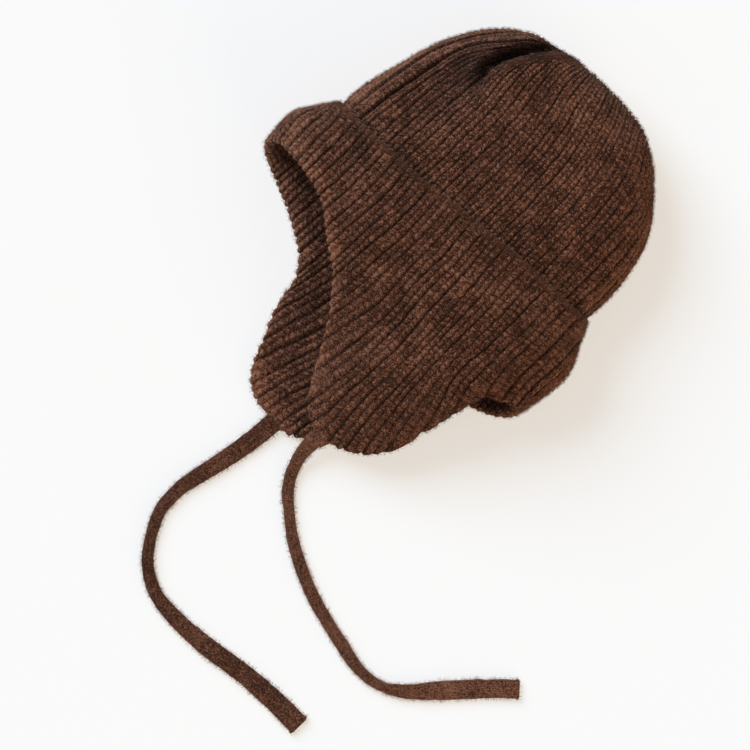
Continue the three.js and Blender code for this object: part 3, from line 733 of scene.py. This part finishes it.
# Rib numbers over rows of the crown's upper side follow the tracks. The lower side has ribs of one width, and
# takes on the upper side's places towards the closing line.
def spreadRibs(near, share):
    fine = np.linspace(0, ribCount / 2, 601)
    upper, lower = np.zeros((len(share), len(near))), np.zeros((len(share), len(near)))
    for i, s in enumerate(share):
        row, under = (crownSkin(rib, np.full(len(fine), s)) for rib in (fine, ribCount - fine))
        upper[i] = alongTracks(near, fine, row, trackRibs, tracks)
        arc = arcLength(under)
        lower[i] = np.interp(near / near[-1] * arc[-1], arc, fine)
    return upper, mix(lower, upper, smooth(0.6, 1, share)[:, None])


def makeCrown():
    form = crownForm
    columns = ribCount * form["perRib"]
    rib = np.arange(columns) / form["perRib"]
    half = columns // 2
    share = crownShare(np.linspace(0, 1, form["rows"] + 1))
    ribGrid, shareGrid = np.meshgrid(rib, share)
    upperRibs, lowerRibs = spreadRibs(rib[:half + 1], share)
    lowerRibs = ribCount - lowerRibs[:, half - 1:0:-1]
    skin = wandered(crownSkin(np.concatenate([upperRibs, lowerRibs], 1), shareGrid))
    normal = squareTo(skin, True)
    # On the closing line both sides meet, so the direction there is level and square to the line.
    edge = skin[-1]
    tangent = np.roll(edge, -1, 0) - np.roll(edge, 1, 0)
    level = np.stack([-tangent[:, 1], tangent[:, 0], np.zeros(columns)], 1)
    level[half + 1:] *= -1
    level[0], level[half] = level[1], level[half - 1]
    normal[-1] = level / np.linalg.norm(level, axis=1, keepdims=True)
    stitch = np.concatenate([np.zeros((1, columns)),
                             np.cumsum(np.linalg.norm(np.diff(skin, axis=0), axis=-1), 0)]) / form["stitchPitch"]
    seated = 1 - smooth(0.0, 1.0, skin[..., 2])
    pitch = np.linalg.norm(np.roll(skin, -1, 1) - np.roll(skin, 1, 1), axis=-1) * form["perRib"] / 2
    onTop = np.arange(columns) <= half
    even = stretched(skin[..., 0], skin[..., 1]) * onTop
    relief = form["ribRelief"] * np.clip((pitch - 1) / 4, 0.05, 1) * (1 - 0.7 * even)
    stitch = drifted(stitch, ribGrid, skin)
    height = knitHeight(ribGrid, stitch, knitRelief["slant"]) * relief + lumps(skin)
    outer = skin + normal * (height * (1 - seated))[..., None]
    outer[..., 2] = np.maximum(outer[..., 2], 0)
    innerAt = np.round(np.linspace(1, 0, form["innerRows"] + 1) * form["rows"]).astype(int)
    inner = skin[innerAt] - normal[innerAt] * form["wall"]
    places = np.concatenate([outer, inner])
    stitchAll = np.concatenate([stitch, stitch[innerAt]])
    index = np.arange(places.shape[0] * columns).reshape(-1, columns)
    for r in (form["rows"], form["rows"] + 1):
        index[r, half + 1:] = index[r, half - 1:0:-1]
    closed = np.concatenate([index, index[:1]])
    closed = np.concatenate([closed, closed[:, :1]], 1)
    ribAll = np.broadcast_to(np.arange(columns + 1) / form["perRib"], closed.shape)
    stitchAll = np.concatenate([stitchAll, stitchAll[:1]])
    stitchAll = np.concatenate([stitchAll, stitchAll[:, :1]], 1)
    faces, corners = gridFaces(closed, ribAll, stitchAll)
    # The strip between the outer and inner sides at the closing line stays open, because each side closes on
    # itself.
    strip = np.arange(len(faces)) // columns == form["rows"]
    # Painted shade and painted light are given on the upper side only.
    shade = np.concatenate([crownShade(skin[..., 0], skin[..., 1]) * onTop, np.zeros(inner.shape[:2])])
    plain = np.concatenate([np.maximum(1 - (pitch - 1.2) / 2.4, 0.8 * even), np.zeros(inner.shape[:2])])
    paintedLight = crownPaintedLight(skin[..., 0], skin[..., 1], shareGrid)
    paintedLight = np.concatenate([paintedLight * onTop, np.zeros(inner.shape[:2])])
    makeFuzz("crown_fuzz", [(outer, normal, ribGrid, stitch, shade[:len(outer)])], form["fibres"], fuzzWool, 15)
    return makeObject("crown_knit", places, [faces[~strip]], [corners[~strip]], crownWool, shade, plain, paintedLight)


crownPiece = makeCrown()
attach(crownPiece, "root")
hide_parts("crown")
print("crown made")

# Band. Folded rims rib by rib from the forehead: rib, x, y, z.
nearRim = [
    (0, -90.3, -20.8, 24), (1, -87.8, -18.6, 30), (2, -84, -17.4, 35), (4, -76, -18, 41),
    (6, -63, -20, 44), (8, -50, -24.5, 44), (10, -37, -34, 42.5), (12, -23, -44.5, 39),
    (14, -11.5, -57, 34), (16, -1, -75, 26), (18, 12.5, -96.8, 16), (19, 21, -104.2, 12.8),
    (20, 30.5, -106.4, 11.8), (21, 39.3, -105.2, 11.8), (22, 47.7, -101.8, 12.8), (23, 55.8, -94.6, 15),
    (24, 61.3, -83.3, 18.5), (25, 63.4, -68, 23), (26, 64.4, -51, 28), (27, 71, -37.5, 31),
    (28, 80, -32, 31), (29, 87.5, -28.5, 29), (30, 91.5, -25.5, 24),
]
farRim = [
    (0, -90.3, -20.8, 24), (1, -90.3, -23.2, 17), (2, -88.5, -26, 10.5), (3, -84.5, -28.5, 5.5),
    (4, -79, -31, 3.4), (6, -65, -36.5, 2.75), (8, -52, -43.5, 2.75), (10, -40, -52.5, 2.75),
    (11, -34.5, -61.5, 2.75), (12, -31.5, -75, 2.75), (13, -25, -92, 2.75), (14, -17.2, -108, 2.75),
    (15, -9, -115.3, 2.75), (16, 0, -117.5, 2.75), (18, 16.5, -118, 2.75), (19, 23.7, -115.2, 2.75),
    (20, 30.3, -108.8, 2.75), (22, 41, -91, 2.75), (24, 53, -69.5, 2.75), (26, 61, -50.5, 2.75),
    (27, 69.3, -44.2, 3.6), (28, 79.3, -40.6, 6.5), (29, 87.8, -34.6, 13), (30, 91.5, -25.5, 24),
]
bandForm = {
    "foldHeight": 24, "edgeRadius": 1.5, "rimRadius": 2.75, "relief": 1.5, "innerRelief": 1.35, "perRib": 10,
    "stitchPitch": 3.2, "rimRows": 12, "edgeRows": 8, "nearRows": (165, 55), "farRows": (60, 165),
    "castOff": 3.7, "darkFrom": -5, "darkTo": 4.5, "foldRelief": 0.5, "foldRibs": 2.5, "fibres": 42000,
    "chain": 0.4, "edgeShade": 0.5, "napeLight": 0.5, "paintedLightReach": 13, "frontPaintedLight": 0.7, "napePaintedLight": 0.75,
    "farPaintedLight": 1.45, "usualLength": 95.0,
}
# Where the grooves run, seen from above: for each level of y, the x of each groove, on the upper and the
# lower layer.
nearTrackRibs = (2.5, 4.5, 6.5, 8.5, 9.5, 10.5, 11.5, 12.5, 13.5, 14.5, 15.5, 16.5, 17.5, 18.5, 19.5, 20.5,
                 21.5, 22.5, 23.5, 24.5, 25.5, 26.5)
nearTracks = [
    (-112, -88, -76, -64, -52, -46, -39.5, -32.5, -25.5, -18, -10, -1, 10.7, 20, 36.5, 45.6, 54.7, 63.5, 70,
     76, 82, 88, 93),
    (-95.5, -86, -74, -62, -49, -43, -36.5, -29.5, -22.5, -15.5, -7.5, 2.6, 14.7, 23.9, 34.7, 43.3, 51.6,
     60, 67.5, 74, 80, 86, 91.5),
    (-75.5, -84, -72, -60, -47, -40, -33, -26, -19, -11.8, -3.8, 7.2, 18.5, 26.1, 33.6, 41, 48.3, 56.7,
     64.5, 70.7, 77, 84, 91),
    (-55.5, -83, -70, -57, -43.6, -36.7, -29.3, -22.4, -14.9, -7.8, 0.4, 10.1, 19.3, 26.4, 33.5, 40.1, 46,
     53.9, 62.2, 68.5, 76, 83, 90.3),
    (-35.5, -81, -68, -55, -40.8, -33.6, -26.1, -20.4, -12, -4.3, 4.5, 11.6, 18.9, 26.1, 33.3, 38.9, 44.5,
     50.4, 55.8, 64, 72.8, 81, 88.6),
    (-15.5, -80.5, -66.7, -53.2, -39.2, -32, -25.1, -18.2, -10.9, -3.9, 3.5, 10.5, 17.2, 24.7, 32, 37.9,
     44.5, 50.5, 57, 63.5, 70.5, 78.8, 87.4),
    (-0.5, -82, -66.7, -53, -39.2, -31.7, -24.9, -18.1, -11.1, -4.2, 2.9, 10.1, 16.9, 23.5, 30.7, 37, 44.2,
     50.6, 57.1, 63.9, 70.9, 79.3, 87.7),
    (14.5, -80.7, -66.7, -52.7, -39, -31.7, -24.9, -17.6, -11.4, -4.6, 2.5, 9.7, 16.5, 22.7, 30.1, 36.4,
     43.9, 50.5, 57.2, 64.2, 71.4, 79.5, 87.6),
]
farTrackRibs = (2.5, 5.5, 8.5, 11.5, 12.5, 13.5, 14.5, 15.5, 16.5, 17.5, 20.5, 23.5, 26.5)
farTracks = [
    (-118, -85, -66, -48, -33, -29, -24.5, -14.5, -5.8, 2, 11.5, 32, 50, 66),
    (-100, -85, -65, -46, -31, -25.5, -18.5, -8.8, -1.6, 6, 14.8, 34, 52, 68),
    (-85, -85, -64, -45, -29.5, -22, -13.3, -4.8, 2.3, 10, 18.5, 36, 54, 70),
    (-70, -85, -64, -44, -27, -18.5, -8.5, -0.8, 6.5, 14, 22, 38, 57, 74),
    (-55, -84.5, -63.5, -43, -23.5, -14.3, -4.5, 3, 10, 17.5, 25, 41, 60, 78),
    (-40, -84, -63, -41.5, -20.5, -11, -1, 6.5, 13, 20, 27.5, 44, 62, 80),
    (-20, -83, -62, -40, -18, -8, 2, 9, 15.5, 22, 29, 46, 64, 81),
    (20, -80, -59, -36, -14, -4, 4, 11, 17.5, 24, 31, 48, 66, 80),
]


# A place on the middle of the band's wall: a smooth curve from the upper edge over the widest hoop to the
# rim.
def bandPoints(rib):
    upper, near, across, up = roundHoop(rib)
    topX = mix(-79, 83.4, across)
    top = np.stack([topX, readRows(stepEdge, topX)[..., 0],
                    np.where(upper, 23 + 28.9 * up, np.maximum(1.5, 23 - 22.3 * up))], -1)
    middle = np.stack([mix(-91.5, 93.7, across), mix(-4, 3, across),
                       np.where(upper, 24 + 28.4 * up, np.maximum(2.75, 24 - 22 * up))], -1)
    end = np.where(upper[..., None], readRows(nearRim, near), readRows(farRim, near))
    return top, middle, end, np.linalg.norm(middle - top, axis=-1), np.linalg.norm(end - middle, axis=-1)


def bandMiddle(rib, distance):
    a, b, c, first, second = bandPoints(rib)
    first, second = first[..., None], second[..., None]
    at = distance[..., None]
    slope = ((b - a) * second / first + (c - b) * first / second) / (first + second)
    early = at < first
    start, end = np.where(early, a, b), np.where(early, b, c)
    span = np.where(early, first, second)
    t = np.where(early, at, at - first) / span
    straight = (end - start) / span
    loose = straight * 1.5 - slope * 0.5
    leave, arrive = np.where(early, loose, slope), np.where(early, slope, loose)
    return ((2 * t ** 3 - 3 * t ** 2 + 1) * start + (t ** 3 - 2 * t ** 2 + t) * span * leave
            + (3 * t ** 2 - 2 * t ** 3) * end + (t ** 3 - t ** 2) * span * arrive)


# One layer of the band between two ribs, as a closed solid: rows run down the outer side, round the rim, up
# the inner side and over the upper edge. A row is a distance along the middle of the wall and a step square
# to it.
def makeLayer(name, firstRib, lastRib, outerRows, innerRows):
    form = bandForm
    edge, rim = form["edgeRadius"], form["rimRadius"]
    columns = int(round((lastRib - firstRib) * form["perRib"])) + 1
    rib = np.linspace(firstRib, lastRib, columns)
    onUpper = firstRib < ribCount / 4
    fine = np.linspace(0, ribCount / 2, 601)
    fineRibs = fine if onUpper else ribCount - fine
    _, _, _, first, second = bandPoints(fineRibs)
    count = np.clip(rib if onUpper else ribCount - rib, 0, ribCount / 2)

    # The hoop's own place for each rib number at one share of the way from the upper edge to the rim.
    def placeRow(share):
        row = bandMiddle(fineRibs, share * (first + second))
        traced = (nearTrackRibs, nearTracks) if onUpper else (farTrackRibs, farTracks)
        where = alongTracks(count, fine, row, *traced)
        where = where if onUpper else ribCount - where
        return where + rib - (count if onUpper else ribCount - count)
    rowShares = np.linspace(0, 1, 41)
    rowPlaces = np.stack([placeRow(s) for s in rowShares])
    out = np.linspace(0, 1, outerRows + 1)[:, None]
    back = np.linspace(1, 0, innerRows + 1)[:, None]
    turn = np.linspace(0, np.pi, form["rimRows"] + 1)[1:-1, None]
    over = np.linspace(0, np.pi, form["edgeRows"] + 1)[1:-1, None]
    share = np.concatenate([out, 1 + 0 * turn, back, 0 * over])
    rowAt = np.clip(share * (1 - rim / form["usualLength"]), 0, 1)[:, 0] * (len(rowShares) - 1)
    low = np.minimum(np.floor(rowAt).astype(int), len(rowShares) - 2)
    hoop = mix(rowPlaces[low], rowPlaces[low + 1], (rowAt - low)[:, None])
    _, _, _, first, second = bandPoints(hoop)
    length = first + second

    def half(distance):
        return mix(edge, rim, smooth(13, 26, distance))

    parts = np.cumsum([0, len(out), len(turn), len(back), len(over)])
    lengths = [length[parts[i]:parts[i + 1]] for i in range(4)]
    outAt = edge + out * (lengths[0] - rim - edge)
    backAt = edge + back * (lengths[2] - rim - edge)
    distance = np.concatenate([outAt, lengths[1] - rim + rim * np.sin(turn), backAt,
                               edge - edge * np.sin(over) + 0 * lengths[3]])
    step = np.concatenate([half(outAt), rim * np.cos(turn) + 0 * lengths[1], -half(backAt),
                           -edge * np.cos(over) + 0 * lengths[3]])
    ribGrid = np.broadcast_to(rib, distance.shape)
    ahead = np.clip(distance + 0.4, 0, length)
    behind = np.clip(distance - 0.4, 0, length)
    along = bandMiddle(hoop, ahead) - bandMiddle(hoop, behind)
    share = distance / length
    aside = 0.25

    def besideHoop(shift):
        _, _, _, one, two = bandPoints(hoop + shift)
        return bandMiddle(hoop + shift, share * (one + two))
    around = besideHoop(aside) - besideHoop(-aside)
    outward = -np.cross(around, along)
    outward /= np.linalg.norm(outward, axis=-1, keepdims=True)
    skin = bandMiddle(hoop, distance) + outward * step[..., None]
    lowest = skin[..., 2] < 0.4
    skin[..., 2] = np.where(lowest & (step > 0), 0, skin[..., 2])
    skin = wandered(np.maximum(skin, [-1e9, -1e9, 0]))
    normal = squareTo(np.concatenate([skin[-1:], skin, skin[:1]]), False)[1:-1]
    facing = np.sign(np.sum(normal * outward * np.sign(step + 1e-9)[..., None], -1, keepdims=True))
    steady = np.abs(step) > 0.6 * edge
    normal = normal * np.where(steady[..., None], facing, -1)
    # Stitches are counted from the upper edge down both sides, and meet on the rim.
    stitch = np.concatenate([outAt, lengths[1] - rim + rim * np.minimum(turn, np.pi - turn), backAt,
                             edge * np.abs(np.cos(over)) + 0 * lengths[3]]) / form["stitchPitch"]
    fromEdge = np.where(distance < length - rim, distance, length)
    outerFade = smooth(form["castOff"] - 1.8, form["castOff"] + 2.2, fromEdge)
    fade = np.where(step > 0, outerFade, smooth(0.2, 4.5, fromEdge))
    fade[-form["edgeRows"] + 1:] = 0
    outside = smooth(-rim, rim, step)
    relief = mix(form["innerRelief"], form["relief"], outside)
    seated = (1 - smooth(0.0, 1.0, skin[..., 2])) * (step > 0)
    pitch = np.linalg.norm(np.gradient(skin, axis=1), axis=-1) * form["perRib"]
    relief = relief * np.clip(pitch / 6, 0.25, 1)
    relief = relief * mix(form["foldRelief"], 1, smooth(0, form["foldRibs"], count))
    stitch = drifted(stitch, ribGrid, skin)
    height = knitHeight(ribGrid, stitch, -knitRelief["slant"]) * relief * fade + lumps(skin)
    chain = form["chain"] * (np.abs(np.sin(2 * np.pi * ribGrid)) - 0.6)
    height = height + chain * (1 - smooth(1, 3, fromEdge))
    height = height * (1 - seated)
    places = skin + normal * height[..., None]
    places[..., 2] = np.maximum(places[..., 2], 0)
    index = np.arange(places.shape[0] * columns).reshape(-1, columns)
    closed = np.concatenate([index, index[:1]])
    ribAll = np.broadcast_to(rib, closed.shape)
    stitchAll = np.concatenate([stitch, stitch[:1]])
    faces, corners = gridFaces(closed, ribAll, stitchAll)
    # Both ends are closed from the outer chain to the inner one, inside a groove.
    caps, capMaps = [], []
    rimAt = outerRows + form["rimRows"] // 2
    for column, flip in ((0, False), (columns - 1, True)):
        chainOut = index[:rimAt + 1, column]
        chainIn = np.concatenate([index[:1, column], index[:rimAt - 1:-1, column]])
        outWay = np.linspace(0, 1, len(chainOut))
        inWay = np.linspace(0, 1, len(chainIn))
        tri = zipper(chainOut, chainIn, outWay, inWay)
        caps.append(tri[:, ::-1] if flip else tri)
        capMaps.append(np.stack([ribGrid.reshape(-1)[caps[-1]], stitch.reshape(-1)[caps[-1]]], -1))
    # Painted shade: the inner side is painted darker inwards from the near rim's line, under the near layer.
    rimLine = [(*row[:3], 1) for row in nearRim]
    inside = -beside(rimLine, skin[..., 0], skin[..., 1])[0]
    shade = smooth(form["darkFrom"], form["darkTo"], inside) * (1 - smooth(-0.5, 0.8, step / rim))
    # Less painted shade towards the nape.
    shade = shade * (1 - form["napeLight"] * smooth(58, 78, skin[..., 0]))
    # Painted shade along the band's rounded upper edge.
    shade = np.maximum(shade, form["edgeShade"] * (1 - smooth(0.2, 1.7, distance)))
    # Painted light: the wool is painted paler where light catches the rim in front, the forehead fold and the
    # nape, most of all on the far layer.
    onRim = (1 - smooth(1, form["paintedLightReach"], length - distance)) * (1 - smooth(15, 20, count))
    inFront = form["frontPaintedLight"] * (1 - smooth(1, 4.5, count))
    paintedLight = np.maximum(onRim, np.maximum(inFront, form["napePaintedLight"] * smooth(25.5, 29.5, count)))
    if not onUpper:
        paintedLight = paintedLight * form["farPaintedLight"]
    piece = makeObject(name, places, [faces[:, ::-1], np.concatenate(caps)],
                       [corners[:, ::-1], np.concatenate(capMaps)], bandWool, shade, paintedLight=paintedLight)
    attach(piece, "root")
    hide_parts("band")
    return places, normal, ribGrid, stitch, shade


nearSkin = makeLayer("band_near_knit", -0.5, 30.5, *bandForm["nearRows"])
farSkin = makeLayer("band_far_knit", 30.5, 59.5, *bandForm["farRows"])
makeFuzz("band_fuzz", [nearSkin, farSkin], bandForm["fibres"], fuzzWool, 17)
print("band made")

# Floor, light and background. The floor glows a little, as a white sheet does among bright walls, so that its
# shadows stay pale and warm.
lightForm = {
    "floorSize": 6.0, "floor": (0.251, 0.331, 0.433, 1), "glow": (0.656, 0.592, 0.52, 1), "glowStrength": 1.0,
    "world": (1.0, 0.975, 0.945, 1), "worldStrength": 0.34, "floorRoughness": 0.9, "floorSpecular": 0.1,
    "sun": 3.6, "sunAngle": 42.0, "sunColour": (1.0, 0.99, 0.97), "sunFrom": (-1.0, 0.1, 0.72),
    "warmSun": 2.2, "warmAngle": 45.0, "warmColour": (1.0, 0.58, 0.2), "warmFrom": (1.0, -0.1, 0.28),
}
floorMesh = bpy.data.meshes.new("floor")
side = lightForm["floorSize"] / 2
floorCorners = [(-side, -side, 0), (side, -side, 0), (side, side, 0), (-side, side, 0)]
floorMesh.from_pydata(floorCorners, [], [(0, 1, 2, 3)])
floor = bpy.data.objects.new("floor", floorMesh)
scene.collection.objects.link(floor)
floorPaint = bpy.data.materials.new("floor_paint")
floorPaint.use_nodes = True
paint = floorPaint.node_tree.nodes["Principled BSDF"].inputs
paint["Base Color"].default_value = lightForm["floor"]
paint["Roughness"].default_value = lightForm["floorRoughness"]
paint["Specular IOR Level"].default_value = lightForm["floorSpecular"]
paint["Emission Color"].default_value = lightForm["glow"]
paint["Emission Strength"].default_value = lightForm["glowStrength"]
floorMesh.materials.append(floorPaint)
world = bpy.data.worlds.new("studio")
scene.world = world
world.use_nodes = True
world.node_tree.nodes["Background"].inputs[0].default_value = lightForm["world"]
world.node_tree.nodes["Background"].inputs[1].default_value = lightForm["worldStrength"]


# A wide sun from the given side, turned so that its own down points away from there.
def makeSun(name, energy, angle, colour, side):
    sun = bpy.data.objects.new(name, bpy.data.lights.new(name, "SUN"))
    sun.data.energy = energy
    sun.data.angle = math.radians(angle)
    sun.data.color = colour
    sun.rotation_euler = (math.atan2(math.hypot(side[0], side[1]), side[2]), 0, math.atan2(side[0], -side[1]))
    scene.collection.objects.link(sun)


makeSun("key", *(lightForm[label] for label in ("sun", "sunAngle", "sunColour", "sunFrom")))
makeSun("warm", *(lightForm[label] for label in ("warmSun", "warmAngle", "warmColour", "warmFrom")))
scene.view_settings.view_transform = "Standard"
scene.view_settings.look = "None"
print("studio made")
